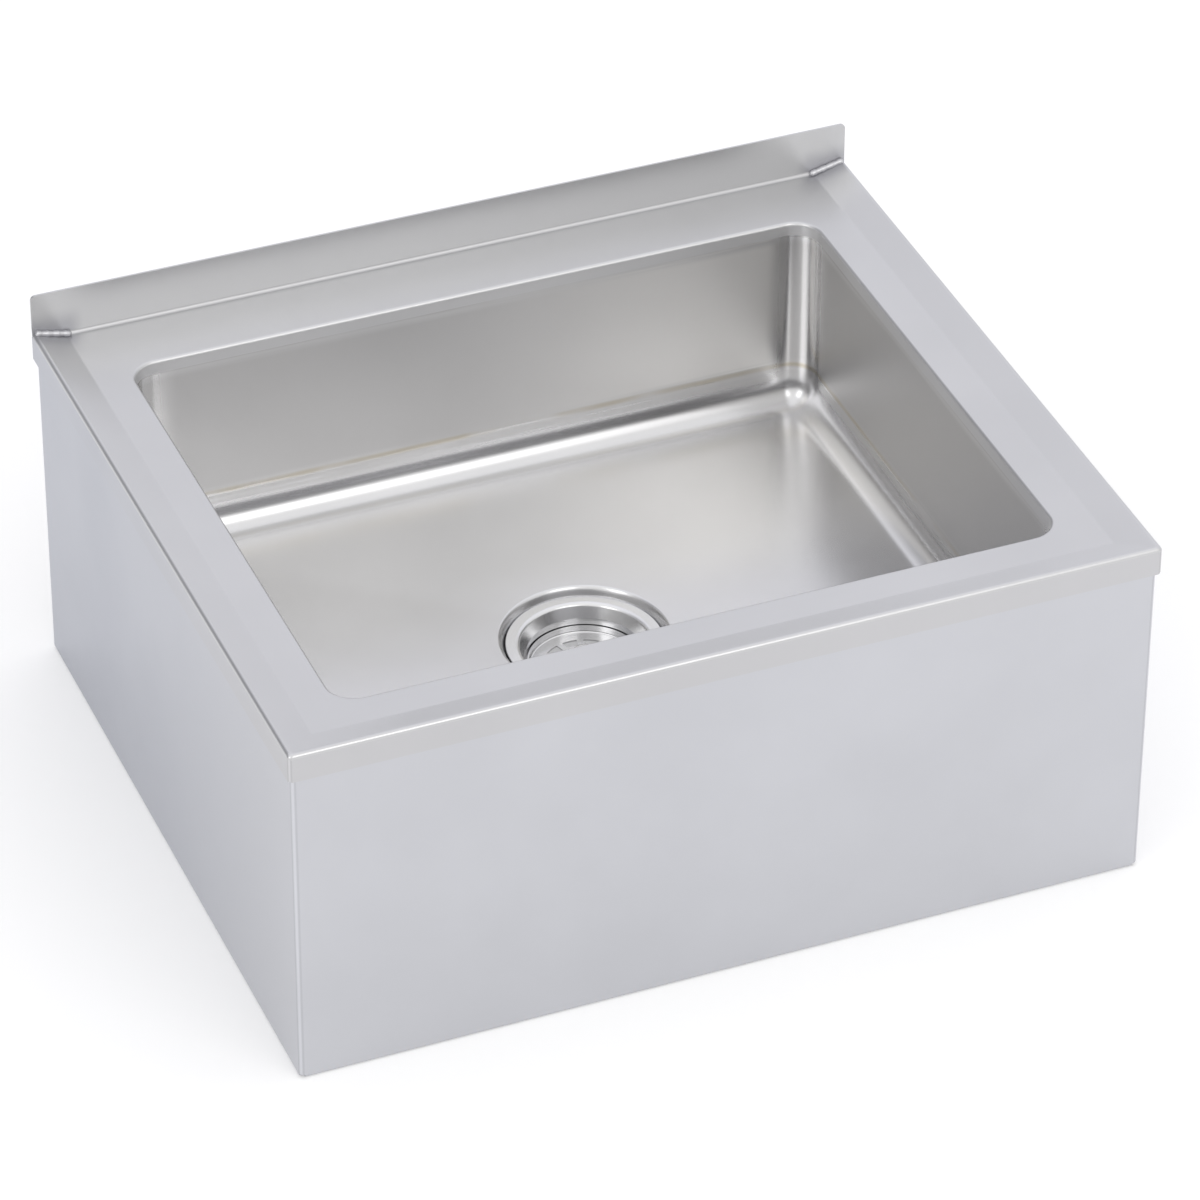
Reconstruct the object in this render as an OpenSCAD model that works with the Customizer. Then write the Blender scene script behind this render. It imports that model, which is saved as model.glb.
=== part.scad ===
// Floor-standing mop service sink in folded sheet steel: a deck with a rear splash, a welded bowl,
// a skirt down to the floor, and a drain with a lift-out strainer.
// Millimetres. Origin: middle of the overall outline, on the floor. +X right, +Y to the wall, +Z up.

/* [Overall] */
// Width of the deck over its side flanges
sink_w = 635; // [560:1:800]
// Depth from the front flange to the back of the splash
sink_d = 539.5; // [480:0.5:700]
// Height of the flat of the deck above the floor
deck_h = 270.5; // [240:0.5:420]
// Thickness of the sheet
sheet_t = 1.5; // [1:0.1:2]

/* [Deck edge] */
// Width of the raised band along the front and sides
band_w = 25.4; // [18:0.1:32]
// Rise of the band from the flat to its outer corner
band_rise = 7; // [3:0.5:12]
// Outer radius of the bend from the band to the flange
rim_bend_r = 3; // [2.5:0.1:5]
// Radius of the soft fold between the band and the flat
fold_r = 8; // [2:0.5:14]
// Drop of the flange below the flat of the deck
flange_drop = 15.5; // [8:0.5:30]
// Radius of the ground corners at the front
rim_corner_r = 3.5; // [1:0.5:4]
// Radius of the flange's lower corners at the front
flange_corner_r = 4; // [1:0.5:7]
// Length of the cut corner at the flange's rear end
chamfer_l = 9; // [3:0.5:15]
// Height of the cut corner at the flange's rear end
chamfer_h = 4; // [1:0.5:7]

/* [Splash] */
// Height of the splash above the flat of the deck
splash_h = 38; // [20:1:150]
// Radius of the bend at the foot of the splash
splash_bend_r = 3; // [1:0.5:8]
// Radius of the splash's top corners
splash_corner_r = 4; // [1:0.5:12]

/* [Bowl] */
// Ledge at the left and right of the bowl
side_ledge = 52.75; // [46:0.25:75]
// Ledge in front of the bowl
front_ledge = 52.3; // [46:0.1:75]
// Ledge between the bowl and the splash
rear_ledge = 56.5; // [24:0.5:90]
// Depth of the bowl at the edge of its floor
bowl_depth = 156.5; // [130:0.5:165]
// Inner radius of the bowl's upright corners
bowl_corner_r = 20; // [20:1:45]
// Inner radius of the cove round the floor
cove_r = 20; // [8:1:20]
// Fall of the floor from its edge to the middle
floor_fall = 9.5; // [4:0.5:14]
// Height of the weld between pan and walls above the floor's edge
seam_h = 32; // [22:1:80]
// Depth of the deck's lip down into the bowl
lip_h = 10.5; // [5:0.5:20]
// Outer radius of the bend from the deck to its lip
lip_bend_r = 2.5; // [2.2:0.1:4]

/* [Skirt] */
// Inset of the skirt from the deck's outline
skirt_inset = 2.4; // [2.1:0.1:8]
// Outer radius of the skirt's front corners
skirt_corner_r = 4; // [2.5:0.5:10]
// Outer radius of the bends to the skirt's returns
return_bend_r = 3; // [2.5:0.5:6]
// Width of the return along the floor
foot_return = 15; // [10:1:30]
// Width of the returns at the open back
rear_return = 20; // [12:1:30]
// Leg of the angle across the back
tie_leg = 20; // [12:1:40]

/* [Sound pads] */
// Width of each pad
pad_w = 110; // [40:5:130]
// Depth of each pad
pad_d = 150; // [40:5:150]
// Thickness of each pad
pad_t = 3; // [1:0.5:6]
// Distance of each pad from the edge of the bowl's floor
pad_margin = 30; // [5:1:40]

/* [Drain] */
// Diameter of the drain's flange
flange_d = 114.3; // [110:0.1:120]
// Thickness of the drain's metal at the flange
flange_t = 1.4; // [1:0.1:2]
// Diameter of the drain's threaded neck
neck_d = 88.9; // [80:0.1:90]
// Bore of the neck above the strainer's seat
neck_bore_d = 84.6; // [78:0.1:85]
// Diameter of the plain outlet below the thread
outlet_d = 86; // [83.6:0.1:88]
// Length of the plain outlet
outlet_l = 9.5; // [8:0.1:40]
// Depth of the strainer's seat below the underside of the flange
seat_depth = 20.3; // [14:0.1:21]
// Width of the strainer's seat
seat_w = 4.3; // [3:0.1:8]
// Thickness of the strainer's seat
seat_t = 3; // [1.5:0.1:4]
// Diameter of the hole in the bowl
drain_hole_d = 97; // [96.5:0.1:102]
// Diameter of the recess at its flat bottom
recess_d = 116; // [115:0.5:130]
// Spread of the recess's wall over its height
recess_flare = 3; // [1:0.5:8]
// Depth of the recess below the lowest point of the pitched floor
recess_depth = 5; // [3:0.1:12]
// Thickness of the gasket under the flange
gasket_t = 0.8; // [0.5:0.1:2]
// Thickness of the rubber washer under the bowl
washer_t = 3.5; // [2:0.1:6]
// Thickness of the fibre ring
ring_t = 1.2; // [0.8:0.1:2]
// Height of the locknut
nut_h = 9; // [7.5:0.5:14]
// Diameter of the locknut over its rim
nut_d = 108; // [102:0.5:125]
// Number of the lugs on the locknut
nut_lugs = 6; // [4:1:8]

/* [Strainer] */
// Diameter of the strainer dish
dish_d = 83; // [70:0.1:83]
// Height of the strainer dish
dish_h = 6.2; // [4:0.1:10]
// Thickness of the strainer's sheet
dish_t = 1.2; // [0.8:0.1:1.6]
// Number of slots in the dish
slot_count = 12; // [6:1:14]
// Radius of the middle of the slots
slot_r = 27.5; // [20:0.5:30]
// Width of the slots
slot_w = 7; // [3:0.5:8]
// Angle that each slot spans
slot_angle = 21; // [10:0.5:22]
// Diameter of the knob
knob_d = 20; // [16:0.5:26]
// Height of the knob above the dish
knob_h = 12.5; // [10:0.5:30]
// Diameter of the stem in the knob
stem_d = 6; // [4:0.5:8]

/* [Fits] */
// Gap between the skirt's top edge and the deck
skirt_gap = 0.3; // [0.1:0.1:1]
// Gap under the strainer where it rests in the drain
rest_gap = 0.3; // [0.1:0.1:0.5]
// Radial gap in the thread and round the stem
thread_gap = 0.05; // [0.02:0.01:0.2]
// Radial gap between the washers and the drain
washer_gap = 0.4; // [0.1:0.1:1]

/* [Hidden] */

$fn = 96;
bend_steps = 8;      // straight facets in one bend of the sheet
cove_steps = 16;     // straight facets in the cove
fold_steps = 4;      // straight facets in the soft fold
rim_steps = 2;       // straight facets from the top of the rim's bend to the band
past = 1;            // how far a cutter runs past the face that it cuts
lap = 1;             // how far the parts of one sheet run into each other where they join
steel = "#c3c5c8";
dull_steel = "#a9abae";
rubber = "#2b2b2d";
fibre = "#8a7a60";

half_w = sink_w / 2;
half_d = sink_d / 2;

// The opening of the bowl, and the middle that the drain shares
open_w = sink_w - 2 * side_ledge;
open_front = -half_d + front_ledge;
open_rear = half_d - sheet_t - rear_ledge;
open_d = open_rear - open_front;
bowl_y = (open_front + open_rear) / 2;
corner_x = open_w / 2 - bowl_corner_r;
corner_y = open_d / 2 - bowl_corner_r;

// Levels of the bowl
floor_z = deck_h - bowl_depth;
apex_z = floor_z - floor_fall;
recess_z = apex_z - recess_depth;
seam_z = floor_z + seam_h;
lip_z = deck_h - lip_h;

// The raised band along the deck's edge
band_a = atan(band_rise / band_w);
rim_z = (band_w - rim_bend_r) * tan(band_a) - rim_bend_r / cos(band_a);
fold_u = band_w + fold_r * tan(band_a / 2);

// The skirt: its outline, and its top edge under the band
skirt_x = half_w - skirt_inset;
skirt_front = -half_d + skirt_inset;
skirt_rear = half_d - sheet_t;
skirt_top = deck_h - sheet_t - skirt_gap;

// Levels and radii of the drain
flange_z = recess_z + gasket_t;
washer_z = recess_z - sheet_t - washer_t;
ring_z = washer_z - ring_t;
nut_z = ring_z - nut_h;
neck_r = neck_d / 2;
bore_r = neck_bore_d / 2;
thread_run = 0.3;    // thread left below the locknut
throat_r = 4;        // radius of the round from the flange into the throat
throat_a = 150;      // where that round ends and the throat's cone starts
throat_out = 5.55;   // how far the middle of that round lies outside the neck
throat_c = [neck_r + throat_out, flange_t - throat_r];
thread_end = flange_z - nut_z + thread_run;
drain_l = thread_end + outlet_l;
dish_z = flange_z - seat_depth + rest_gap;
knob_z = dish_z + dish_t;

// Points of an arc about c, from angle a0 to a1
function arc(c, r, a0, a1, steps) =
    [for (i = [0:steps]) let (a = a0 + (a1 - a0) * i / steps) c + r * [cos(a), sin(a)]];

// Where a line that falls at the throat's angle reaches radius r, starting from point p
function down_to(p, r) = [r, p[1] - (p[0] - r) * tan(throat_a - 90)];

// Profiles of the deck, each filled down to height foot. The flat is at height 0, and inset moves
// a profile in from the outer faces of the sheet, so 0 gives its upper face and sheet_t its lower one.

// From the middle of the left bend across the band and the soft fold to the edge of the flat
function band_points(inset) = concat(
    arc([rim_bend_r, rim_z], rim_bend_r - inset, 90, 90 - band_a, rim_steps),
    arc([fold_u, fold_r], fold_r + inset, 270 - band_a, 270, fold_steps)
);

// The same points for the right side of a profile of that length
function flipped(list, length) = [for (i = [len(list) - 1:-1:0]) [length - list[i][0], list[i][1]]];

// Outline with the rounds of the bends: both sides, or only the front with its end open
module bend_profile(inset, foot, length, both) {
    left = arc([rim_bend_r, rim_z], rim_bend_r - inset, 180, 90, bend_steps);
    right = both ? flipped(left, length) : [[length, rim_z + rim_bend_r - inset]];
    polygon(concat([[inset, foot]], left, right, [[both ? length - inset : length, foot]]));
}

// The raised bands with the flat between or behind them
module band_profile(inset, foot, length, both) {
    left = band_points(inset);
    right = both ? concat(flipped(left, length), [[length, left[0][1]]]) : [[length, -inset]];
    polygon(concat([[0, foot], [0, left[0][1]]], left, right, [[length, foot]]));
}

// Everything between height foot and the deck's face. The bands meet in mitres at the front corners.
module under_deck(inset, foot, depth) {
    intersection() {
        along_sides(depth) bend_profile(inset, foot, sink_w, true);
        along_front() bend_profile(inset, foot, depth, false);
        union() {
            along_sides(depth) band_profile(inset, foot, sink_w, true);
            along_front() band_profile(inset, foot, depth, false);
        }
    }
}

// Runs a profile drawn across the width back from the front, or one drawn along the depth across
module along_sides(depth) {
    translate([-half_w, depth - half_d, 0]) rotate([90, 0, 0]) linear_extrude(height = depth) children();
}

module along_front() {
    translate([-half_w, -half_d, 0]) rotate([90, 0, 90]) linear_extrude(height = sink_w) children();
}

// Sweeps a section round the bowl's opening. The section's x is measured outwards
// from the centre of the upright corners.
module around_bowl() {
    translate([0, bowl_y, 0]) {
        for (side = [0, 1]) mirror([side, 0, 0]) {
            translate([corner_x, corner_y, 0]) rotate_extrude(angle = 90) children();
            translate([corner_x, -corner_y, 0]) rotate([0, 0, -90]) rotate_extrude(angle = 90) children();
            translate([corner_x, corner_y, 0])
                rotate([90, 0, 0]) linear_extrude(height = 2 * corner_y) children();
        }
        for (side = [0, 1]) mirror([0, side, 0])
            translate([-corner_x, corner_y, 0])
                rotate([90, 0, 90]) linear_extrude(height = 2 * corner_x) children();
    }
}

// Outline of the bowl's opening, with its walls moved out by grow
module opening_outline(grow) {
    r = bowl_corner_r + grow;
    translate([0, bowl_y]) {
        square([2 * corner_x, open_d + 2 * grow], center = true);
        square([open_w + 2 * grow, 2 * corner_y], center = true);
        for (x = [-corner_x, corner_x], y = [-corner_y, corner_y]) translate([x, y]) circle(r);
    }
}

// Section of the lip that turns down into the bowl
module lip_section() {
    lip_c = [bowl_corner_r + lip_bend_r, -lip_bend_r];
    polygon(concat(
        [[bowl_corner_r, -lip_h]],
        arc(lip_c, lip_bend_r, 180, 90, bend_steps),
        [[lip_c[0] + lap, 0], [lip_c[0] + lap, -sheet_t]],
        arc(lip_c, lip_bend_r - sheet_t, 90, 180, bend_steps),
        [[bowl_corner_r + sheet_t, -lip_h]]
    ));
}

// Section of the splash, from the flat of the deck up its bend to the plain top edge
module splash_section() {
    front = half_d - sheet_t;
    bend_c = [front - splash_bend_r, splash_bend_r];
    polygon(concat(
        [[bend_c[0] - lap, 0]],
        arc(bend_c, splash_bend_r, 270, 360, bend_steps),
        [[front, splash_h], [half_d, splash_h]],
        arc(bend_c, splash_bend_r + sheet_t, 360, 270, bend_steps),
        [[bend_c[0] - lap, -sheet_t]]
    ));
}

// What is cut off a square corner at the origin to round it. The metal lies at +x and +y.
module corner_waste(r) {
    polygon(concat([[-past, r], [-past, -past], [r, -past]], arc([r, r], r, 270, 180, bend_steps)));
}

// Folded deck with its flanges, raised bands, lip and splash
module deck() {
    plate_rear = half_d - sheet_t - splash_bend_r;
    foot_half = half_w - band_w;
    color(steel) translate([0, 0, deck_h]) difference() {
        union() {
            difference() {
                under_deck(0, -flange_drop, sink_d);
                under_deck(sheet_t, -flange_drop - past, sink_d + past);
                translate([0, 0, -sheet_t - past]) linear_extrude(height = sheet_t + 2 * past)
                    opening_outline(lip_bend_r);
                translate([-foot_half + lap, plate_rear, -sheet_t - past])
                    cube([2 * (foot_half - lap), half_d, sheet_t + 2 * past]);
            }
            around_bowl() lip_section();
            translate([-foot_half, 0, 0])
                rotate([90, 0, 90]) linear_extrude(height = 2 * foot_half) splash_section();
            translate([-half_w, half_d - sheet_t, splash_bend_r])
                cube([sink_w, sheet_t, splash_h - splash_bend_r]);
            for (side = [0, 1]) mirror([side, 0, 0]) translate([-half_w, half_d - sheet_t, -sheet_t])
                cube([band_w + lap, sheet_t, splash_h + sheet_t]);
        }
        for (side = [0, 1]) mirror([side, 0, 0]) {
            // The corner of the rim, ground round
            translate([-half_w, -half_d, -sink_w])
                linear_extrude(height = 2 * sink_w) corner_waste(rim_corner_r);
            // The lower corners of the front flange and the side flange
            translate([-half_w, -half_d + sheet_t, -flange_drop]) rotate([90, 0, 0])
                linear_extrude(height = sheet_t + past) corner_waste(flange_corner_r);
            translate([-half_w - past, -half_d, -flange_drop]) rotate([90, 0, 90])
                linear_extrude(height = sheet_t + past) corner_waste(flange_corner_r);
            // The cut corner at the rear end of the side flange
            translate([-half_w - past, half_d, -flange_drop]) rotate([90, 0, 90])
                linear_extrude(height = sheet_t + 2 * past)
                    polygon([
                        [past, -past], [-chamfer_l, -past], [-chamfer_l, 0],
                        [0, chamfer_h], [past, chamfer_h]
                    ]);
            // The top corner of the splash
            translate([-half_w, half_d + past, splash_h]) rotate([90, 90, 0])
                linear_extrude(height = sheet_t + 2 * past) corner_waste(splash_corner_r);
        }
    }
}

// Upright sheet round the bowl, from height 0 to height
module upright_sheet(height) {
    linear_extrude(height = height) difference() {
        opening_outline(sheet_t);
        opening_outline(0);
    }
}

// Upright walls of the bowl, from the weld on the pan to the deck's lip
module bowl_walls() {
    color(steel) translate([0, 0, seam_z]) upright_sheet(lip_z - seam_z);
}

// Section of the cove between the floor and the upright sheet. Height 0 is the floor's edge.
module cove_section() {
    cove_c = [bowl_corner_r - cove_r, cove_r];
    flat = bowl_corner_r > cove_r ? [[0, 0], [0, -sheet_t]] : [];
    polygon(concat(
        [[bowl_corner_r, cove_r + lap]],
        arc(cove_c, cove_r, 0, -90, cove_steps),
        flat,
        arc(cove_c, cove_r + sheet_t, -90, 0, cove_steps),
        [[bowl_corner_r + sheet_t, cove_r + lap]]
    ));
}

// The pan's edge, up to the weld on the walls
module pan_edge() {
    around_bowl() cove_section();
    translate([0, 0, cove_r]) upright_sheet(seam_h - cove_r);
}

// Everything above a floor that falls to the middle from four sides. At half_x and half_y the floor
// has height 0, and it goes on rising out to reach times that distance.
module above_pitched_floor(half_x, half_y, reach) {
    rise = (reach - 1) * floor_fall;
    top = rise + 2 * recess_depth;
    intersection() {
        translate([0, reach * half_y, 0]) rotate([90, 0, 0]) linear_extrude(height = 2 * reach * half_y)
            polygon([
                [-reach * half_x, rise], [0, -floor_fall], [reach * half_x, rise],
                [reach * half_x, top], [-reach * half_x, top]
            ]);
        translate([-reach * half_x, 0, 0]) rotate([90, 0, 90]) linear_extrude(height = 2 * reach * half_x)
            polygon([
                [-reach * half_y, rise], [0, -floor_fall], [reach * half_y, rise],
                [reach * half_y, top], [-reach * half_y, top]
            ]);
    }
}

// Lower part of the bowl: coved edge, pitched floor and the recess for the drain
module bowl_pan() {
    recess_r = recess_d / 2;
    outer_r = recess_r + sheet_t;
    recess_h = floor_fall + recess_depth;
    flare = recess_flare / (recess_depth + floor_fall / 4);
    color(steel) {
        translate([0, 0, floor_z]) pan_edge();
        translate([0, bowl_y, floor_z]) difference() {
            union() {
                translate([0, 0, -sheet_t]) above_pitched_floor(corner_x, corner_y, 1);
                translate([0, 0, -recess_h - sheet_t])
                    cylinder(h = recess_h, r1 = outer_r, r2 = outer_r + flare * recess_h);
            }
            above_pitched_floor(corner_x, corner_y, 2);
            translate([0, 0, -recess_h])
                cylinder(h = recess_h + past, r1 = recess_r, r2 = recess_r + flare * (recess_h + past));
            translate([0, 0, -recess_h - sheet_t - past])
                cylinder(h = recess_h + past, r = drain_hole_d / 2);
        }
    }
}

// Outline of the skirt in plan, moved in by inset, from one rear return round to the other
function skirt_line(inset) =
    let (
        rear = [skirt_x - return_bend_r, skirt_rear - return_bend_r],
        front = [skirt_x - skirt_corner_r, skirt_front + skirt_corner_r],
        rear_r = return_bend_r - inset,
        front_r = skirt_corner_r - inset
    )
    concat(
        [[-skirt_x + rear_return, skirt_rear - inset]],
        arc([-rear[0], rear[1]], rear_r, 90, 180, bend_steps),
        arc([-front[0], front[1]], front_r, 180, 270, bend_steps),
        arc(front, front_r, 270, 360, bend_steps),
        arc(rear, rear_r, 0, 90, bend_steps),
        [[skirt_x - rear_return, skirt_rear - inset]]
    );

// The same points in the opposite order
function reversed(list) = [for (i = [len(list) - 1:-1:0]) list[i]];

// Section of the return along the floor, from the skirt's face inwards
module foot_section(width) {
    bend_c = [return_bend_r, return_bend_r];
    polygon(concat(
        arc(bend_c, return_bend_r, 180, 270, bend_steps),
        [[width, 0], [width, sheet_t]],
        arc(bend_c, return_bend_r - sheet_t, 270, 180, bend_steps)
    ));
}

// Skirt round the front and sides, turned in along the floor and at the open back
module skirt() {
    side_l = skirt_rear - return_bend_r - skirt_front - skirt_corner_r;
    front_l = 2 * (skirt_x - skirt_corner_r);
    color(steel) {
        translate([0, 0, return_bend_r]) linear_extrude(height = skirt_top - return_bend_r)
            polygon(concat(skirt_line(0), reversed(skirt_line(sheet_t))));
        for (side = [0, 1]) mirror([side, 0, 0])
            translate([-skirt_x, skirt_rear - return_bend_r, 0])
                rotate([90, 0, 0]) linear_extrude(height = side_l) foot_section(foot_return);
        translate([-front_l / 2, skirt_front, 0])
            rotate([90, 0, 90]) linear_extrude(height = front_l) foot_section(foot_return);
    }
}

// Angle across the open back, standing on the floor returns against the rear returns
module rear_tie() {
    length = 2 * (skirt_x - return_bend_r - skirt_gap);
    color(dull_steel) translate([-length / 2, skirt_rear - sheet_t, sheet_t])
        rotate([90, 0, 90]) linear_extrude(height = length) mirror([1, 0]) {
            foot_section(tie_leg);
            translate([0, return_bend_r]) square([sheet_t, tie_leg - return_bend_r]);
        }
}

// Pad under the pitched floor, on the side given by side = -1 or 1
module sound_pad(side) {
    slope = atan(floor_fall / corner_x);
    offset = corner_x - pad_margin - pad_w / 2;
    color(rubber) translate([0, bowl_y, apex_z]) rotate([0, -side * slope, 0])
        translate([side * offset - pad_w / 2, -pad_d / 2, -sheet_t / cos(slope) - pad_t])
            cube([pad_w, pad_d, pad_t]);
}

module sound_pad_left() {
    sound_pad(-1);
}

module sound_pad_right() {
    sound_pad(1);
}

// Flanged drain: throat, threaded neck, plain outlet, and the seat that the strainer rests on.
// Height 0 of its section is the underside of the flange.
module drain_body() {
    flange_r = flange_d / 2;
    edge_r = flange_t / 2;
    seat_r = bore_r - seat_w;
    outlet_r = outlet_d / 2;
    outlet_wall = 1.5;
    outlet_bore_r = min(bore_r, outlet_r) - outlet_wall;
    inner = arc(throat_c, throat_r, 90, throat_a, bend_steps);
    outer = arc(throat_c, throat_r - flange_t, throat_a, 90, bend_steps);
    color(steel) translate([0, bowl_y, flange_z]) rotate_extrude() polygon(concat(
        arc([flange_r - edge_r, edge_r], edge_r, -90, 90, bend_steps),
        inner,
        [
            down_to(inner[bend_steps], bore_r), [bore_r, -seat_depth], [seat_r, -seat_depth],
            [seat_r, -seat_depth - seat_t], [outlet_bore_r, -seat_depth - seat_t],
            [outlet_bore_r, -drain_l], [outlet_r, -drain_l],
            [outlet_r, -thread_end], [neck_r, -thread_end], down_to(outer[0], neck_r)
        ],
        outer
    ));
}

// Flat ring on the drain's axis, standing on height z
module flat_ring(z, height, r_in, r_out) {
    translate([0, bowl_y, z]) difference() {
        cylinder(h = height, r = r_out);
        translate([0, 0, -past]) cylinder(h = height + 2 * past, r = r_in);
    }
}

// Gasket between the drain's flange and the bottom of the recess
module flange_gasket() {
    color(rubber) flat_ring(recess_z, gasket_t, throat_c[0] + washer_gap, flange_d / 2 - washer_gap);
}

// Rubber washer pressed up under the bowl
module sealing_washer() {
    color(rubber) flat_ring(washer_z, washer_t, drain_hole_d / 2 - washer_gap, recess_d / 2);
}

// Fibre ring that lets the nut turn on the washer
module friction_ring() {
    color(fibre) flat_ring(ring_z, ring_t, neck_r + 2 * washer_gap, nut_d / 2);
}

// Locknut with lugs, on the drain's thread
module locknut() {
    lug_w = 14;
    lug_l = 5;
    lug_root = neck_r + 2;
    color(dull_steel) {
        flat_ring(nut_z, nut_h, neck_r + thread_gap, nut_d / 2 - lug_l);
        for (i = [0:nut_lugs - 1]) translate([0, bowl_y, nut_z]) rotate([0, 0, i * 360 / nut_lugs])
            translate([lug_root, -lug_w / 2, 0]) cube([nut_d / 2 - lug_root, lug_w, nut_h]);
    }
}

// One curved slot, centred on the x axis
module slot_outline() {
    reach = 2 * slot_r;
    half_a = slot_angle / 2;
    intersection() {
        difference() {
            circle(slot_r + slot_w / 2);
            circle(slot_r - slot_w / 2);
        }
        polygon([[0, 0], reach * [cos(half_a), -sin(half_a)], reach * [cos(half_a), sin(half_a)]]);
    }
}

// Strainer dish with its ring of curved slots
module strainer_cup() {
    dish_r = dish_d / 2;
    bend_r = 2.4;
    bend_c = [dish_r - bend_r, bend_r];
    hole_r = stem_d / 2 + thread_gap;
    color(steel) translate([0, bowl_y, dish_z]) difference() {
        rotate_extrude() polygon(concat(
            [[hole_r, 0]],
            arc(bend_c, bend_r, -90, 0, bend_steps),
            [[dish_r, dish_h], [dish_r - dish_t, dish_h]],
            arc(bend_c, bend_r - dish_t, 0, -90, bend_steps),
            [[hole_r, dish_t]]
        ));
        for (i = [0:slot_count - 1]) rotate([0, 0, i * 360 / slot_count])
            translate([0, 0, -past]) linear_extrude(height = dish_t + 2 * past) slot_outline();
    }
}

// Stem that holds the knob on the dish, with its head under the dish
module strainer_post() {
    head_h = 2;
    stem_l = knob_h * 2 / 3;
    color(dull_steel) translate([0, bowl_y, dish_z]) {
        translate([0, 0, -head_h]) cylinder(h = head_h, r = stem_d);
        cylinder(h = dish_t + stem_l, r = stem_d / 2);
    }
}

// Low knob that lifts the strainer
module strainer_knob() {
    knob_r = knob_d / 2;
    waist_r = knob_r * 0.6;
    foot_round = 1;
    round_r = knob_h / 5;
    hole_r = stem_d / 2 + thread_gap;
    hole_h = knob_h * 2 / 3 + thread_gap;
    color(steel) translate([0, bowl_y, knob_z]) rotate_extrude() polygon(concat(
        [[hole_r, 0], [waist_r + foot_round, 0], [waist_r, foot_round], [waist_r, knob_h / 2]],
        arc([knob_r - round_r, knob_h - round_r], round_r, -60, 90, bend_steps),
        [[0, knob_h], [0, hole_h], [hole_r, hole_h]]
    ));
}

deck();
bowl_walls();
bowl_pan();
skirt();
rear_tie();
sound_pad_left();
sound_pad_right();
drain_body();
flange_gasket();
sealing_washer();
friction_ring();
locknut();
strainer_cup();
strainer_post();
strainer_knob();
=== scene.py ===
import bmesh
import bpy
import math
from mathutils import Matrix, Vector


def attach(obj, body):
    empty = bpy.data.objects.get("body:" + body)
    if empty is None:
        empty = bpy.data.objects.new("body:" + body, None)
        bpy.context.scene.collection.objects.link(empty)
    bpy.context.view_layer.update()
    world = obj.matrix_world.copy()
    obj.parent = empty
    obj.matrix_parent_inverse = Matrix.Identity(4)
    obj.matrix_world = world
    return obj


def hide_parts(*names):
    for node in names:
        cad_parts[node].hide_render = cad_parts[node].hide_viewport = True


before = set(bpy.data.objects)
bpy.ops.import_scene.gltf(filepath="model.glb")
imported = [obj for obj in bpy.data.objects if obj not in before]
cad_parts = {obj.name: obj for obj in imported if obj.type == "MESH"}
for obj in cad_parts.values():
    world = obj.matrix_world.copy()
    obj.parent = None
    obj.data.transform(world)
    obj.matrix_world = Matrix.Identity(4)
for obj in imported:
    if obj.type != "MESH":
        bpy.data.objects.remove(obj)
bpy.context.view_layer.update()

MM = 0.001

# ---------------------------------------------------------------- sizes, in millimetres, as in the CAD
HALF_W = 317.5  # half the width of the deck
HALF_D = 269.75  # half the depth, from the front flange to the back of the splash
DECK_Z = 270.5  # height of the flat of the deck
SHEET = 1.5  # thickness of the sheet
BAND_W = 25.4  # width of the raised band
BAND_A = math.atan(7 / BAND_W)  # slope of the band, which rises 7 mm
RIM_R = 3  # bend from the band to the flange
RIM_Z = (BAND_W - RIM_R) * math.tan(BAND_A) - RIM_R / math.cos(BAND_A)  # foot of that bend above the flat
BAND_TOP = DECK_Z + RIM_Z + RIM_R
FOLD_R = 8  # soft fold between the flat and the band
FOLD_U = BAND_W + FOLD_R * math.tan(BAND_A / 2)  # where that fold starts, from the deck's outline
FLANGE_FOOT = 255  # lower edge of the flange
FRONT_CORNER_R = 3  # ground corners at the front
SPLASH_FACE = HALF_D - SHEET
SPLASH_TOP = DECK_Z + 38
SPLASH_FOOT = 2.8  # bend at the foot of the splash
SPLASH_CORNER_R = 4
BOWL_Y = -2.85  # middle of the bowl's opening
OPEN_X = 264.75  # half the width of the opening
OPEN_Y = 214.6  # half its depth
CORNER_R = 20  # the bowl's upright corners and its cove
LIP_R = 2.5  # bend from the deck to its lip
LIP_Z = 260  # lower edge of the lip
SEAM_Z = 146  # weld between the bowl's walls and its pan
WALL_RINGS = (222, 184)  # heights of the rings between the lip and the weld
FLOOR_Z = 114  # edge of the bowl's floor
RECESS = [  # section of the drain's recess, as radius and height, from the floor to the drain's hole
    (63, 107), (62.3, 106.85), (61.6, 106.4), (60.9, 105.6), (60.2, 104.5), (59.5, 103.2), (58.8, 101.8),
    (58.2, 100.7), (57.7, 100), (57.1, 99.65), (56.4, 99.5), (48.5, 99.5)
]
SKIRT_CORNER_X = 311.1  # centres of the skirt's rounded corners
SKIRT_CORNER_Y = 263.35
WELD_R = 2.3  # radius of a ground weld bead
NEAR = 0.05  # play for finding corners by their place


# ---------------------------------------------------------------- camera
def add_camera():
    """The camera, from a fit of the sink's edges: a rotation, a shift and a focal length in pixels."""
    spin = Vector((2.16491581, -0.421211708, 0.220711680))
    shift = Vector((-204.453204, 326.876039, 4296.43071))
    focal_pixels = 6343.875
    frame_pixels = 1200
    turn = Matrix.Rotation(spin.length, 3, spin)
    place = -(turn.transposed() @ shift) - Vector((HALF_W, HALF_D, 0))
    data = bpy.data.cameras.new("view_from_front_left")
    data.sensor_width = 36
    data.lens = focal_pixels / frame_pixels * data.sensor_width
    data.clip_start = 0.1
    data.clip_end = 200
    camera = bpy.data.objects.new("view_from_front_left", data)
    bpy.context.scene.collection.objects.link(camera)
    axes = Matrix((turn[0], -turn[1], -turn[2])).transposed()
    camera.matrix_world = Matrix.Translation(place * MM) @ axes.to_4x4()
    bpy.context.scene.camera = camera


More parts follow.
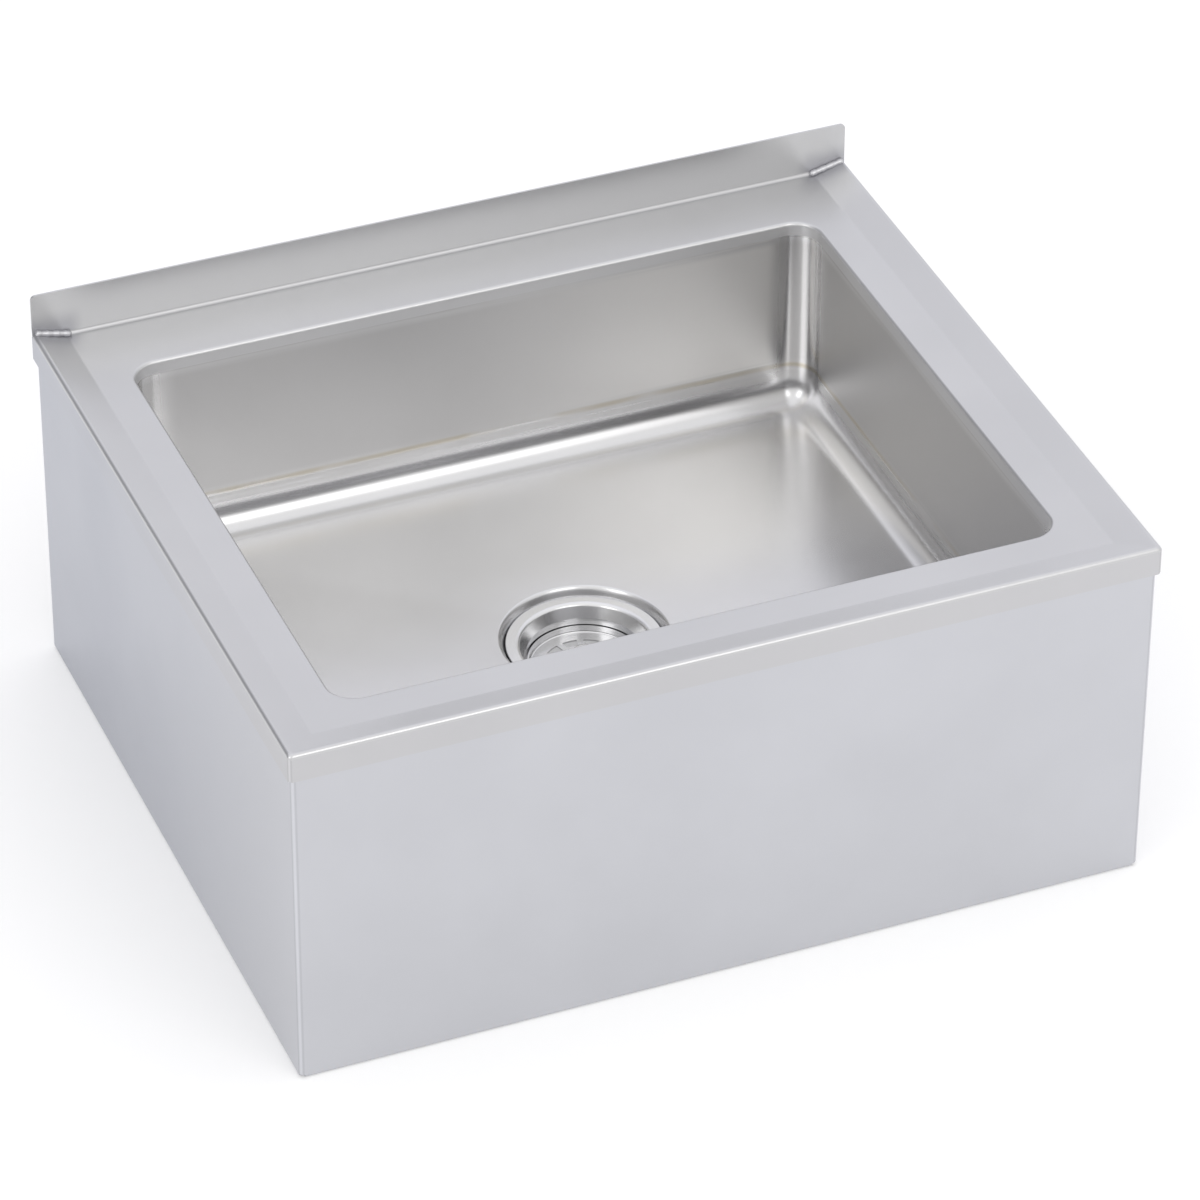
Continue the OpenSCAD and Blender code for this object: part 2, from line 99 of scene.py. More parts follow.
# ---------------------------------------------------------------- helpers for edit mode
def start_piece(name, primitive, **sizes):
    """A new primitive as the start of a piece, open in edit mode."""
    if bpy.context.mode != "OBJECT":
        bpy.ops.object.mode_set(mode="OBJECT")
    bpy.ops.object.select_all(action="DESELECT")
    primitive(**sizes)
    piece = bpy.context.object
    piece.name = name
    piece.data.name = name
    bpy.ops.object.mode_set(mode="EDIT")
    return piece


def change_selection(change):
    """Lets change select or drop items of the open mesh."""
    mesh = bpy.context.object.data
    shape = bmesh.from_edit_mesh(mesh)
    change(shape)
    shape.select_flush_mode()
    bmesh.update_edit_mesh(mesh)


def pick(kind, test, numbers=None):
    """Selects the VERT, EDGE or FACE items whose corners all pass the test, given in mm.

    With numbers, only the corners that have them are tested."""
    def add_to_selection(shape):
        items = {"VERT": shape.verts, "EDGE": shape.edges, "FACE": shape.faces}[kind]
        items.ensure_lookup_table()
        for item in items if numbers is None else [items[number] for number in numbers]:
            corners = [item] if kind == "VERT" else item.verts
            if all(test(*(corner.co / MM)) for corner in corners):
                item.select_set(True)

    bpy.ops.mesh.select_mode(type=kind)
    bpy.ops.mesh.select_all(action="DESELECT")
    change_selection(add_to_selection)


def keep_edges(test):
    """Leaves only those of the picked edges that pass the test."""
    def drop_others(shape):
        for edge in shape.edges:
            edge.select_set(edge.select and test(edge))

    change_selection(drop_others)


def picked_numbers():
    """The numbers of the picked corners, to come back to."""
    shape = bmesh.from_edit_mesh(bpy.context.object.data)
    return [corner.index for corner in shape.verts if corner.select]


def pick_all():
    bpy.ops.mesh.select_all(action="SELECT")


def move(x=0, y=0, z=0):
    bpy.ops.transform.translate(value=(x * MM, y * MM, z * MM))


def scale(x, y, z, centre):
    bpy.ops.transform.resize(value=(x, y, z), center_override=[c * MM for c in centre])


def extrude():
    bpy.ops.mesh.extrude_region_move(TRANSFORM_OT_translate={"value": (0, 0, 0)})


def bevel(offset, steps, kind="EDGES"):
    bpy.ops.mesh.bevel(offset=offset * MM, segments=steps, affect=kind, profile=0.5)


def arc(centre, radius, start, end, steps):
    """Points of an arc, from one angle to another, in degrees."""
    turn = [math.radians(start + (end - start) * i / steps) for i in range(steps + 1)]
    return [(centre[0] + radius * math.cos(a), centre[1] + radius * math.sin(a)) for a in turn]


# ---------------------------------------------------------------- helpers for the bowl's opening
def in_opening(x, y, grow):
    """True inside the bowl's opening, moved out by grow."""
    return abs(x) < OPEN_X + grow + NEAR and abs(y - BOWL_Y) < OPEN_Y + grow + NEAR


def draw_opening(grow, z, cuts):
    """Turns a new quad into the outline of the opening, and cuts the long edges at this height."""
    scale(OPEN_X + grow, OPEN_Y + grow, 1, (0, 0, 0))
    move(0, BOWL_Y, z)
    bevel(CORNER_R + grow, 12, "VERTICES")
    bpy.ops.mesh.delete(type="ONLY_FACE")
    pick("EDGE", lambda x, y, height: abs(height - z) <= 1)
    keep_edges(lambda edge: edge.calc_length() > 100 * MM)
    bpy.ops.mesh.subdivide(number_cuts=cuts)


def sweep_opening(steps):
    """Draws the picked outline of the opening through (corner radius, height) steps."""
    corner_x = OPEN_X - CORNER_R
    corner_y = OPEN_Y - CORNER_R
    for (r0, z0), (r1, z1) in zip(steps, steps[1:]):
        extrude()
        move(0, 0, z1 - z0)
        ring = picked_numbers()
        if r0 == r1:
            continue
        for side in (-1, 1):
            for end in (-1, 1):
                pick("VERT", lambda x, y, z: (
                    side * x > corner_x - NEAR and end * (y - BOWL_Y) > corner_y - NEAR), ring)
                scale(r1 / r0, r1 / r0, 1, (side * corner_x, BOWL_Y + end * corner_y, 0))
            pick("VERT", lambda x, y, z: side * x > corner_x and abs(y - BOWL_Y) < corner_y - NEAR, ring)
            move(side * (r1 - r0), 0, 0)
            pick("VERT", lambda x, y, z: side * (y - BOWL_Y) > corner_y and abs(x) < corner_x - NEAR, ring)
            move(0, side * (r1 - r0), 0)
        pick("VERT", lambda x, y, z: True, ring)


def sweep_round(steps):
    """Draws the picked round outline through (radius, height) steps."""
    for (r0, z0), (r1, z1) in zip(steps, steps[1:]):
        extrude()
        scale(r1 / r0, r1 / r0, 1, (0, BOWL_Y, 0))
        move(0, 0, z1 - z0)


def finish_sheet(piece, place, facing, smooth_angle, back=None):
    """Gives the open sheet its thickness, away from the side that faces so at that place, and smooths it.

    Nothing then stands out past the back, if one is given."""
    bpy.ops.mesh.select_mode(type="FACE")
    pick_all()
    bpy.ops.mesh.normals_make_consistent(inside=False)
    bpy.ops.object.mode_set(mode="OBJECT")
    nearest = min(piece.data.polygons, key=lambda face: (face.center / MM - Vector(place)).length)
    if nearest.normal.dot(Vector(facing)) < 0:
        bpy.ops.object.mode_set(mode="EDIT")
        pick_all()
        bpy.ops.mesh.flip_normals()
        bpy.ops.object.mode_set(mode="OBJECT")
    wall = piece.modifiers.new("sheet_thickness", "SOLIDIFY")
    wall.thickness = SHEET * MM
    wall.offset = -1
    wall.use_even_offset = True
    bpy.ops.object.modifier_apply(modifier=wall.name)
    if back is not None:
        bpy.ops.object.mode_set(mode="EDIT")
        pick("VERT", lambda x, y, z: y > back)
        scale(1, 0, 1, (0, back, 0))
        bpy.ops.object.mode_set(mode="OBJECT")
    bpy.ops.object.shade_smooth_by_angle(angle=math.radians(smooth_angle))
    weight = piece.modifiers.new("even_shading", "WEIGHTED_NORMAL")
    weight.keep_sharp = True
    bpy.ops.object.modifier_apply(modifier=weight.name)


# ---------------------------------------------------------------- deck
def draw_flat(flat_front):
    """The flat of the deck, filled between its outline and the opening."""
    scale(HALF_W - FOLD_U, (SPLASH_FACE - flat_front) / 2, 1, (0, 0, 0))
    move(0, (SPLASH_FACE + flat_front) / 2, DECK_Z)
    bpy.ops.mesh.delete(type="ONLY_FACE")
    bpy.ops.mesh.primitive_plane_add(size=2 * MM)
    draw_opening(LIP_R, DECK_Z, 7)
    pick_all()
    bpy.ops.mesh.fill(use_beauty=True)


def draw_bands(flat_front):
    """The raised bands, their bend and the flange, drawn out from the left, front and right edges."""
    section = [(FOLD_U, 0)]
    section += arc((FOLD_U, FOLD_R), FOLD_R, 270, 270 - math.degrees(BAND_A), 3)[1:]
    section += arc((RIM_R, RIM_Z), RIM_R, 90 - math.degrees(BAND_A), 180, 8)
    section += [(0, FLANGE_FOOT - DECK_Z)]

    def is_open_side(edge):
        at_rear = all(corner.co.y > (SPLASH_FACE - NEAR) * MM for corner in edge.verts)
        return len(edge.link_faces) == 1 and not at_rear

    pick("EDGE", lambda x, y, z: abs(x) > HALF_W - FOLD_U - NEAR or y < flat_front + NEAR)
    keep_edges(is_open_side)
    for (u0, z0), (u1, z1) in zip(section, section[1:]):
        extrude()
        wide = (HALF_W - u1) / (HALF_W - u0)
        deep = (SPLASH_FACE + HALF_D - u1) / (SPLASH_FACE + HALF_D - u0)
        scale(wide, deep, 1, (0, SPLASH_FACE, 0))
        move(0, 0, z1 - z0)


def draw_splash():
    """The splash, drawn up from the whole rear edge, with the flange run on to its back."""
    rim_foot = DECK_Z + RIM_Z
    pick("EDGE", lambda x, y, z: y > SPLASH_FACE - NEAR and abs(x) > HALF_W - NEAR and z < rim_foot + NEAR)
    extrude()
    move(0, SHEET, 0)

    def is_above_flange(edge):
        corners = [corner.co / MM for corner in edge.verts]
        return all(z > rim_foot - NEAR or abs(x) < HALF_W - NEAR for x, y, z in corners)

    pick("EDGE", lambda x, y, z: abs(y - SPLASH_FACE) < NEAR and z > DECK_Z - NEAR)
    keep_edges(is_above_flange)
    extrude()
    scale(1, 1, 0, (0, SPLASH_FACE, SPLASH_TOP))

    side = HALF_W - RIM_R * 0.7
    pick("EDGE", lambda x, y, z: abs(y - SPLASH_FACE) < NEAR and z < BAND_TOP and abs(x) < side)
    bevel(SPLASH_FOOT, 6)
    pick("VERT", lambda x, y, z: HALF_W - 10 < abs(x) < HALF_W - NEAR and z > SPLASH_TOP - NEAR)
    bpy.ops.mesh.dissolve_verts()
    pick("VERT", lambda x, y, z: abs(x) > HALF_W - NEAR and z > SPLASH_TOP - NEAR)
    bevel(SPLASH_CORNER_R, 8, "VERTICES")

    # A cut just before and above the foot keeps its shading off the long faces
    for place, facing in ((SPLASH_FACE - 4, (0, 1, 0)), (BAND_TOP + 5, (0, 0, 1))):
        pick_all()
        bpy.ops.mesh.bisect(plane_co=[c * place * MM for c in facing], plane_no=facing)


def draw_lip():
    """The lip, drawn down from the opening."""
    pick("EDGE", lambda x, y, z: abs(z - DECK_Z) < NEAR and in_opening(x, y, LIP_R))
    keep_edges(lambda edge: len(edge.link_faces) == 1)
    bend = arc((CORNER_R + LIP_R, DECK_Z - LIP_R), LIP_R, 90, 180, 6)
    sweep_opening(bend + [(CORNER_R, LIP_Z + 0.02)])


def grind_front_corners():
    """The corners between the front and side flanges, rounded, with their lower ends rounded off."""
    pick("EDGE", lambda x, y, z: (
        abs(abs(x) - HALF_W + y + HALF_D) < NEAR and y < -HALF_D + RIM_R + 1))
    bevel(FRONT_CORNER_R, 5)
    for reach, lift in ((2.2, 0.8), (1.3, 1.5)):
        pick("VERT", lambda x, y, z: max(HALF_W - abs(x), HALF_D + y) < reach and z < FLANGE_FOOT + 1)
        move(0, 0, lift)


def make_deck():
    piece = start_piece("deck_sheet", bpy.ops.mesh.primitive_plane_add, size=2 * MM)
    flat_front = -HALF_D + FOLD_U
    draw_flat(flat_front)
    draw_bands(flat_front)
    draw_splash()
    draw_lip()
    grind_front_corners()
    finish_sheet(piece, (0, -250, DECK_Z), (0, 0, 1), 22, back=HALF_D)
    return piece


def make_weld(side):
    """A ground weld bead between a side band and the splash: a rod, its rings swollen and thinned in turn."""
    name = "weld_left" if side < 0 else "weld_right"
    start = Vector((side * (HALF_W - 2), SPLASH_FACE - 1.5, BAND_TOP + 1.2))
    end = Vector((side * (HALF_W - FOLD_U - 2), SPLASH_FACE - 1.5, DECK_Z + 1.1))
    piece = start_piece(name, bpy.ops.mesh.primitive_circle_add, vertices=12, radius=WELD_R * MM)
    bpy.ops.mesh.select_mode(type="VERT")
    pick_all()
    run = end - start
    rings = 26
    step = run.length / rings
    swell = [1 + 0.06 * math.sin(i * 2.4) + 0.08 * math.sin(i * 0.9) for i in range(1, rings)]
    girth = [0.55] + swell + [0.5]
    scale(girth[0], girth[0], 1, (0, 0, 0))
    for i in range(rings):
        extrude()
        move(0, 0, step)
        grow = girth[i + 1] / girth[i]
        scale(grow, grow, 1, (0, 0, (i + 1) * step))
    for on_end in (lambda x, y, z: z < NEAR, lambda x, y, z: z > run.length - NEAR):
        pick("VERT", on_end)
        bpy.ops.mesh.edge_face_add()
    pick_all()
    bpy.ops.mesh.normals_make_consistent(inside=False)
    bpy.ops.object.mode_set(mode="OBJECT")
    piece.rotation_euler = run.to_track_quat("Z", "Y").to_euler()
    piece.location = start * MM
    bpy.ops.object.transform_apply(location=True, rotation=True, scale=True)
    bpy.ops.object.shade_smooth()
    return piece


# ---------------------------------------------------------------- bowl
def make_bowl():
    """The bowl's pan, with its cove, pitched floor and recess, and its upright walls, as two sheets."""
    pan_piece = start_piece("bowl_pan_sheet", bpy.ops.mesh.primitive_plane_add, size=2 * MM)
    draw_opening(0, LIP_Z, 23)
    pick_all()
    cove = arc((0, FLOOR_Z + CORNER_R), CORNER_R, 0, -90, 14)
    cove[-1] = (0.001, FLOOR_Z)  # a corner of no size, so that its points can be merged
    sweep_opening([(CORNER_R, z) for z in (LIP_Z, *WALL_RINGS, SEAM_Z)] + cove)
    pick_all()
    bpy.ops.mesh.remove_doubles(threshold=0.01 * MM)

    # The floor, bridged from its straight edge to the round of the recess
    recess_r, recess_top = RECESS[0]
    bpy.ops.mesh.select_all(action="DESELECT")
    bpy.ops.mesh.primitive_circle_add(
        vertices=96, radius=recess_r * MM, location=(0, BOWL_Y * MM, recess_top * MM))
    pick("EDGE", lambda x, y, z: z < recess_top + NEAR or FLOOR_Z - NEAR < z < FLOOR_Z + NEAR)
    bpy.ops.mesh.bridge_edge_loops(number_cuts=9)
    pick("EDGE", lambda x, y, z: z < recess_top + NEAR)
    sweep_round(RECESS)
    pick_all()
    bpy.ops.mesh.normals_make_consistent(inside=False)

    # The upright walls are a sheet of their own, down to the weld
    pick("FACE", lambda x, y, z: z > SEAM_Z - NEAR)
    bpy.ops.mesh.separate(type="SELECTED")
    bpy.ops.object.mode_set(mode="OBJECT")
    walls_piece = [piece for piece in bpy.context.selected_objects if piece is not pan_piece][0]
    walls_piece.name = "bowl_wall_sheet"
    walls_piece.data.name = "bowl_wall_sheet"
    for piece, place, facing in (
        (pan_piece, (0, -60, 110), (0, 0, 1)),
        (walls_piece, (0, BOWL_Y + OPEN_Y, 200), (0, -1, 0)),
    ):
        bpy.ops.object.select_all(action="DESELECT")
        piece.select_set(True)
        bpy.context.view_layer.objects.active = piece
        bpy.ops.object.mode_set(mode="EDIT")
        finish_sheet(piece, place, facing, 50)
    return pan_piece, walls_piece


# ---------------------------------------------------------------- helpers for shader nodes
MIX_COLOURS = (6, 7, 2)  # the Mix node's colour sockets: two inputs and the output


def feed(tree, socket, value):
    """Links a node's output to a socket, or sets the socket to a plain number or colour."""
    if isinstance(value, bpy.types.NodeSocket):
        tree.links.new(value, socket)
    else:
        socket.default_value = value


def object_place(tree):
    return tree.nodes.new("ShaderNodeTexCoord").outputs["Object"]


def split_axes(tree, vector):
    node = tree.nodes.new("ShaderNodeSeparateXYZ")
    tree.links.new(vector, node.inputs[0])
    return node.outputs


def maths(tree, operation, first, second=0):
    node = tree.nodes.new("ShaderNodeMath")
    node.operation = operation
    feed(tree, node.inputs[0], first)
    feed(tree, node.inputs[1], second)
    return node.outputs[0]


def vector_maths(tree, operation, first, second=(0, 0, 0)):
    node = tree.nodes.new("ShaderNodeVectorMath")
    node.operation = operation
    feed(tree, node.inputs[0], first)
    feed(tree, node.inputs[1], second)
    return node.outputs["Value" if operation in ("LENGTH", "DOT_PRODUCT") else "Vector"]


def fade(tree, source, low, high, start=0, end=1, kind="SMOOTHSTEP"):
    """Goes from start to end as the source goes from low to high."""
    node = tree.nodes.new("ShaderNodeMapRange")
    node.interpolation_type = kind
    tree.links.new(source, node.inputs["Value"])
    node.inputs["From Min"].default_value = low
    node.inputs["From Max"].default_value = high
    node.inputs["To Min"].default_value = start
    node.inputs["To Max"].default_value = end
    return node.outputs[0]


def noise(tree, place, scale_by, detail, roughness=0.5):
    node = tree.nodes.new("ShaderNodeTexNoise")
    node.inputs["Scale"].default_value = scale_by
    node.inputs["Detail"].default_value = detail
    node.inputs["Roughness"].default_value = roughness
    tree.links.new(place, node.inputs["Vector"])
    return node.outputs["Fac"]


def bump(tree, height, strength, distance):
    node = tree.nodes.new("ShaderNodeBump")
    node.inputs["Strength"].default_value = strength
    node.inputs["Distance"].default_value = distance
    tree.links.new(height, node.inputs["Height"])
    return node


def ramp(tree, source, stops):
    """A colour ramp through (place, grey) or (place, colour) stops, fed by source."""
    node = tree.nodes.new("ShaderNodeValToRGB")
    node.color_ramp.interpolation = "EASE"
    bar = node.color_ramp.elements
    while len(bar) > 1:
        bar.remove(bar[-1])
    for i, (place, colour) in enumerate(stops):
        stop = bar[0] if i == 0 else bar.new(place)
        stop.position = place
        stop.color = (*colour, 1) if isinstance(colour, tuple) else (colour, colour, colour, 1)
    tree.links.new(source, node.inputs["Fac"])
    return node.outputs["Color"]


def mix_value(tree, share, low, high):
    """Goes from low to high as share goes from 0 to 1. Either may be a socket or a number."""
    node = tree.nodes.new("ShaderNodeMix")
    tree.links.new(share, node.inputs["Factor"])
    feed(tree, node.inputs["A"], low)
    feed(tree, node.inputs["B"], high)
    return node.outputs["Result"]


def mix_colour(tree, share, low, high, blend="MIX"):
    """The same for colours."""
    node = tree.nodes.new("ShaderNodeMix")
    node.data_type = "RGBA"
    node.blend_type = blend
    first, second, result = MIX_COLOURS
    feed(tree, node.inputs["Factor"], share)
    feed(tree, node.inputs[first], low)
    feed(tree, node.inputs[second], (*high, 1) if isinstance(high, tuple) else high)
    return node.outputs[result]


def new_group(name, inputs, outputs):
    """An empty node group that is fed with a place, with its named sockets."""
    group = bpy.data.node_groups.new(name, "ShaderNodeTree")
    face = group.interface
    face.new_socket("Place", in_out="INPUT", socket_type="NodeSocketVector")
    for title, kind in inputs:
        face.new_socket(title, in_out="INPUT", socket_type=kind)
    for title in outputs:
        face.new_socket(title, in_out="OUTPUT", socket_type="NodeSocketFloat")
    given = group.nodes.new("NodeGroupInput").outputs
    wanted = group.nodes.new("NodeGroupOutput").inputs
    return group, given, wanted


def use_group(tree, name, **values):
    """Places a group in a material, with plain values on its inputs. Gives its outputs."""
    node = tree.nodes.new("ShaderNodeGroup")
    node.node_tree = bpy.data.node_groups[name]
    tree.links.new(object_place(tree), node.inputs["Place"])
    for title, value in values.items():
        node.inputs[title].default_value = value
    return node.outputs


# ---------------------------------------------------------------- shared marks, as node groups
def make_grain_group():
    """Brushed steel's fine lines, as a height, and the cloudy polish over them."""
    group, given, wanted = new_group("brushed_grain", [("Stretch", "NodeSocketVector")], ["Height", "Cloud"])
    along = vector_maths(group, "MULTIPLY", given["Place"], given["Stretch"])
    group.links.new(noise(group, along, 1, 5, 0.62), wanted["Height"])
    group.links.new(noise(group, given["Place"], 9, 4), wanted["Cloud"])


def make_corner_group():
    """How far a place lies in one of the bowl's four upright corners: 0 on the flats, 1 in the round."""
    group, given, wanted = new_group("upright_corners", [], ["Corner"])
    axis = split_axes(group, given["Place"])
    shares = []
    for name, middle, half in (("X", 0, OPEN_X), ("Y", BOWL_Y, OPEN_Y)):
        off = maths(group, "ABSOLUTE", maths(group, "SUBTRACT", axis[name], middle * MM))
        shares.append(fade(group, off, (half - 1.9 * CORNER_R) * MM, (half - 0.8 * CORNER_R) * MM))
    group.links.new(maths(group, "MULTIPLY", *shares), wanted["Corner"])


def make_weld_shade_group():
    """How near a place lies to the welds between the side bands and the splash, 0 far, 1 near: the mask of
    the painted shade and dark reflection put on the deck round them.
    """
    group, given, wanted = new_group("painted_shade_round_welds", [], ["Near"])
    side = maths(group, "ABSOLUTE", split_axes(group, given["Place"])["X"])
    off = vector_maths(group, "SUBTRACT", given["Place"], (0, SPLASH_FACE * MM, (DECK_Z + 5) * MM))
    across = vector_maths(group, "MULTIPLY", off, (0, 1, 1))
    at_side = fade(group, side, (HALF_W - 40) * MM, (HALF_W - 27) * MM)
    at_foot = fade(group, vector_maths(group, "LENGTH", across), 19 * MM, 4 * MM)
    group.links.new(maths(group, "MULTIPLY", at_side, at_foot), wanted["Near"])


def make_edge_group():
    """How far a place lies in the round of a front corner, in millimetres from where the round starts."""
    plain = "NodeSocketFloat"
    group, given, wanted = new_group("front_corners", [("Side", plain), ("Front", plain)], ["Depth"])
    axis = split_axes(group, given["Place"])
    to_side = maths(group, "SUBTRACT", maths(group, "ABSOLUTE", axis["X"]), given["Side"])
    to_front = maths(group, "SUBTRACT", maths(group, "MULTIPLY", axis["Y"], -1), given["Front"])
    nearest = maths(group, "MINIMUM", to_side, to_front)
    group.links.new(maths(group, "DIVIDE", nearest, MM), wanted["Depth"])


def make_weld_group():
    """Marks of making on the bowl, and a patch of painted light, each from 0 to 1.

    Heat is the line on the seam, Ground the streaks round it, Top the streaks below the lip, Low the foot of
    the cove, and PaintedLight a painted lightening of the right of the back wall, standing in for light
    reflected there."""
    group, given, wanted = new_group("weld_marks_and_painted_light", [], ["Heat", "Ground", "Low", "Top", "PaintedLight"])
    axis = split_axes(group, given["Place"])
    height = axis["Z"]

    def between(source, low, high):
        """A fade between two places in mm."""
        return fade(group, source, low * MM, high * MM)

    def streaks(along, across, detail, low, high):
        place = vector_maths(group, "MULTIPLY", given["Place"], (along, along, across))
        return fade(group, noise(group, place, 1, detail), low, high)

    def both(first, second):
        return maths(group, "MULTIPLY", first, second)

    off_seam = maths(group, "ABSOLUTE", maths(group, "SUBTRACT", height, SEAM_Z * MM))
    weld_heat_and_shade = both(between(off_seam, 3.5, 0.4), streaks(14, 40, 2, 0.35, 0.6))
    ground = both(between(height, SEAM_Z - 17, SEAM_Z - 6), between(height, SEAM_Z + 7, SEAM_Z + 1))
    # Where the right of the back wall is lightened with painted light
    at_rear = between(axis["Y"], BOWL_Y + OPEN_Y - 30, BOWL_Y + OPEN_Y - 15)
    on_right = both(between(axis["X"], OPEN_X - 20, OPEN_X - 34), between(axis["X"], -20, 210))
    for title, share in {
        "Heat": weld_heat_and_shade,
        "Ground": both(ground, streaks(7, 380, 3, 0.32, 0.62)),
        "Low": between(height, FLOOR_Z + CORNER_R + 5, FLOOR_Z + 12),
        "Top": both(between(height, LIP_Z - 8, LIP_Z - 1), streaks(6, 300, 3, 0.3, 0.58)),
        "PaintedLight": both(at_rear, on_right),
    }.items():
        group.links.new(share, wanted[title])


# ---------------------------------------------------------------- materials
def new_material(name):
    material = bpy.data.materials.new(name)
    material.use_nodes = True
    return material, material.node_tree, material.node_tree.nodes["Principled BSDF"]


def tint_where(material, share, tint, blend="MIX"):
    """Takes a material's colour towards a tint, as far as share says."""
    tree = material.node_tree
    colour = tree.nodes["Principled BSDF"].inputs["Base Color"]
    tree.links.new(mix_colour(tree, share, colour.links[0].from_socket, tint, blend), colour)


def brushed_steel(name, stretch, tint, rough, grain_strength=0.02):
    """Satin steel with lines along one way, cloudy polish and soft waves in the sheet."""
    material, tree, shader = new_material(name)
    lines = use_group(tree, "brushed_grain", Stretch=stretch)
    light = tuple(min(1, c * 1.03) for c in tint)
    dark = tuple(c * 0.97 for c in tint)
    tree.links.new(ramp(tree, lines["Cloud"], [(0.2, dark), (0.8, light)]), shader.inputs["Base Color"])
    polish = ramp(tree, lines["Cloud"], [(0.2, rough * 0.9), (0.8, rough * 1.1)])
    tree.links.new(polish, shader.inputs["Roughness"])
    shader.inputs["Metallic"].default_value = 1
    fine = bump(tree, lines["Height"], grain_strength, 0.0004)
    waves = bump(tree, noise(tree, object_place(tree), 5, 1), 0.15, 0.002)
    tree.links.new(fine.outputs["Normal"], waves.inputs["Normal"])
    tree.links.new(waves.outputs["Normal"], shader.inputs["Normal"])
    return material


def matt(name, dark, light, rough, speck, metallic=0):
    """Rubber, fibre or a casting: speckled colour and a fine rough surface."""
    material, tree, shader = new_material(name)
    grit = noise(tree, object_place(tree), speck, 5)
    tree.links.new(ramp(tree, grit, [(0.3, dark), (0.7, light)]), shader.inputs["Base Color"])
    tree.links.new(ramp(tree, grit, [(0.3, rough * 0.85), (0.7, rough)]), shader.inputs["Roughness"])
    shader.inputs["Metallic"].default_value = metallic
    tree.links.new(bump(tree, grit, 0.25, 0.0004).outputs["Normal"], shader.inputs["Normal"])
    return material


def paint_shade_to_rear(material, tint):
    """Painted shade on the sides: duller, darker and bluer from the front to the rear."""
    tree = material.node_tree
    depth = split_axes(tree, object_place(tree))["Y"]
    tint_where(material, fade(tree, depth, -HALF_D * MM, 120 * MM, kind="LINEAR"), tint)


def paint_corner_highlight(material, side, front, span):
    """A painted highlight on a front corner's edge: a bright line, with a thin painted dark line along either
    side of it.
    """
    tree = material.node_tree
    corner = use_group(tree, "front_corners", Side=side * MM, Front=front * MM)
    share = fade(tree, corner["Depth"], -0.2 * span, span, kind="LINEAR")
    tone = ramp(tree, share, [(0.2, 1.0), (0.5, 0.88), (0.68, 0.92), (0.84, 1.1), (1.0, 1.12)])
    tint_where(material, 1, tone, blend="MULTIPLY")


def dress_bowl(material, corner_rough, ground_rough, tints, low_rough=None):
    """Adds the polished upright corners, the marks of welding and grinding and any patch of painted light to
    a bowl finish.
    """
    tree = material.node_tree
    rough = tree.nodes["Principled BSDF"].inputs["Roughness"]
    corner = use_group(tree, "upright_corners")["Corner"]
    marks = use_group(tree, "weld_marks_and_painted_light")
    worn = mix_value(tree, marks["Ground"], rough.links[0].from_socket, ground_rough)
    worn = mix_value(tree, corner, worn, corner_rough)
    if low_rough:
        worn = mix_value(tree, maths(tree, "MULTIPLY", corner, marks["Low"]), worn, low_rough)
    tree.links.new(worn, rough)
    for title, tint in tints.items():
        tint_where(material, marks[title], tint)


def make_finishes():
    """All the materials, by name."""
    weld_tints = {"Ground": (0.66, 0.655, 0.65), "Heat": (0.56, 0.525, 0.455)}
    # PaintedLight lightens the right of the back wall: painted light, not a mark of the steel.
    wall_tints = {"PaintedLight": (0.84, 0.83, 0.81), "Top": (0.69, 0.688, 0.685)} | weld_tints

    # How close the lines of a grain lie along X, Y and Z: far apart along the brushing, close across it
    along_x = (6, 700, 700)
    level = (6, 6, 700)
    finishes = {name: brushed_steel(name, *values) for name, values in {
        "deck_steel": (along_x, (0.57, 0.57, 0.576), 0.33),
        "bowl_steel": ((7, 650, 650), (0.62, 0.618, 0.625), 0.24),
        "wall_steel": ((7, 7, 650), (0.605, 0.6, 0.595), 0.43, 0.012),
        "lip_steel": (along_x, (0.73, 0.73, 0.735), 0.5),
        "flange_steel": (level, (0.545, 0.542, 0.552), 0.34),
        "foot_steel": (along_x, (0.53, 0.53, 0.538), 0.42),
        "weld_steel": ((500, 500, 500), (0.56, 0.56, 0.58), 0.36),
        "skirt_steel": (level, (0.56, 0.565, 0.593), 0.34),
        "drain_steel": ((300, 300, 300), (0.66, 0.66, 0.665), 0.2),
    }.items()}
    dress_bowl(finishes["bowl_steel"], 0.22, 0.42, weld_tints, low_rough=0.265)
    dress_bowl(finishes["wall_steel"], 0.21, 0.4, wall_tints)
    # Painted shade: the deck is darkened round the welds, standing in for the shade and dark reflection of
    # the band on the splash.
    weld_heat_and_shade = use_group(finishes["deck_steel"].node_tree, "painted_shade_round_welds")["Near"]
    tint_where(finishes["deck_steel"], weld_heat_and_shade, (0.45, 0.45, 0.468))
    # Painted shade on the skirt and flange, darker and bluer towards the rear.
    paint_shade_to_rear(finishes["skirt_steel"], (0.46, 0.472, 0.515))
    paint_shade_to_rear(finishes["flange_steel"], (0.455, 0.465, 0.505))
    # Painted highlights on the front corners of the skirt and the flange.
    paint_corner_highlight(finishes["skirt_steel"], SKIRT_CORNER_X, SKIRT_CORNER_Y, 2.8)
    paint_corner_highlight(finishes["flange_steel"], HALF_W - FRONT_CORNER_R, HALF_D - FRONT_CORNER_R, 2.1)
    return finishes | {name: matt(name, *values) for name, values in {
        "nut_metal": ((0.34, 0.34, 0.35), (0.5, 0.5, 0.51), 0.55, 900, 1),
        "black_rubber": ((0.018, 0.018, 0.02), (0.035, 0.035, 0.037), 0.75, 1200),
        "pad_rubber": ((0.06, 0.06, 0.065), (0.11, 0.11, 0.115), 0.85, 700),
        "fibre": ((0.34, 0.27, 0.17), (0.46, 0.38, 0.25), 0.8, 900),
    }.items()}


